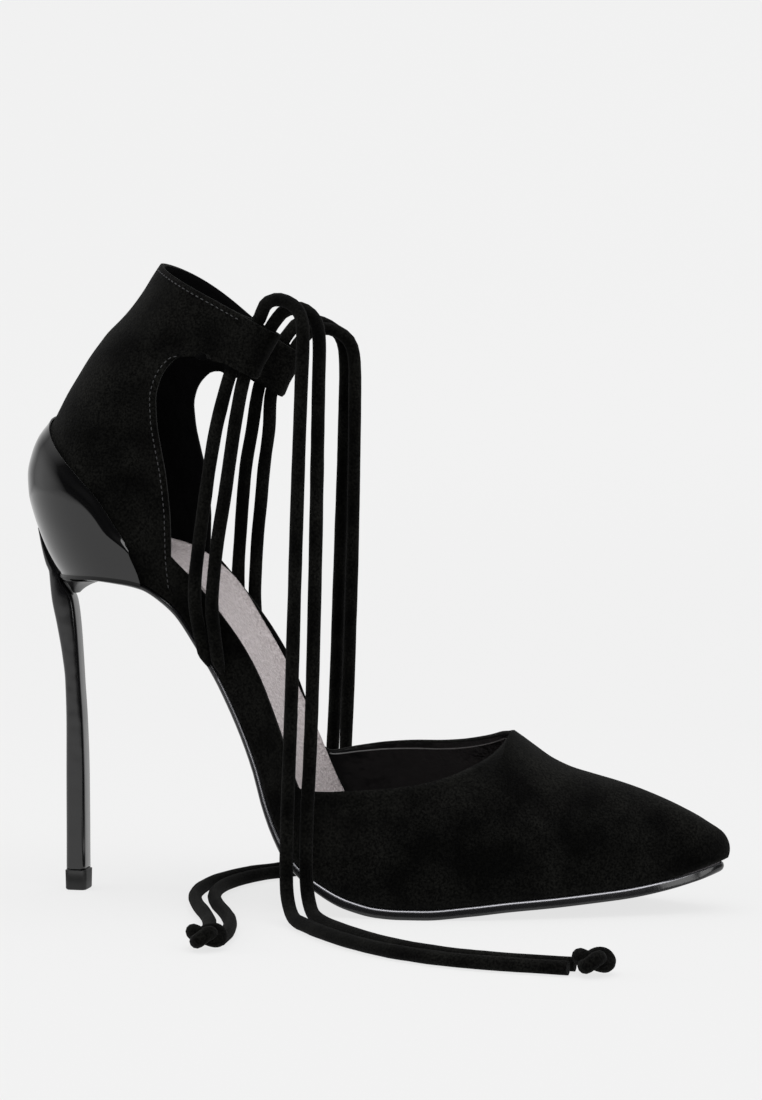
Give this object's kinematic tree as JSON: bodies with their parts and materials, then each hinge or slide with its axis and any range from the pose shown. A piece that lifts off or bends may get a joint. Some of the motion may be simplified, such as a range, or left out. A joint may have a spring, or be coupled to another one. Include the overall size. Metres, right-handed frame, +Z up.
{
  "type": "lace up heeled sandal",
  "caption": "Right pointed-toe suede sandal on a stiletto heel, with a patent heel cover, an open waist and an ankle cuff whose two tabs hold long round ties.",
  "frame": {"origin": "middle of the heel tip's underside, on the floor", "axes": "+X to the toe, +Y to the inner side of the foot, +Z up"},
  "size_m": [0.2191, 0.1657, 0.1965],
  "materials": {
    "outsole": "satin",
    "insole": "matte",
    "upper": "matte",
    "heel_cover": "gloss",
    "heel_stem": "gloss",
    "heel_tip": "matte",
    "lace_bar_outer_front": "matte",
    "lace_bar_outer_back": "matte",
    "lace_bar_inner_front": "matte",
    "lace_bar_inner_back": "matte",
    "tie_outer_front": "matte",
    "tie_outer_back": "matte",
    "tie_inner_front": "matte",
    "tie_inner_back": "matte",
    "knot_outer": "matte",
    "knot_inner": "matte"
  },
  "bodies": {
    "root": {"outsole": "outsole", "insole": "insole", "upper": "upper", "heel_cover": "heel_cover", "heel_stem": "heel_stem", "heel_tip": "heel_tip", "lace_bar_outer_front": "lace_bar_outer_front", "lace_bar_outer_back": "lace_bar_outer_back", "lace_bar_inner_front": "lace_bar_inner_front", "lace_bar_inner_back": "lace_bar_inner_back", "tie_outer_front": "tie_outer_front", "tie_outer_back": "tie_outer_back", "tie_inner_front": "tie_inner_front", "tie_inner_back": "tie_inner_back", "knot_outer": "knot_outer", "knot_inner": "knot_inner"}
  },
  "joints": []
}
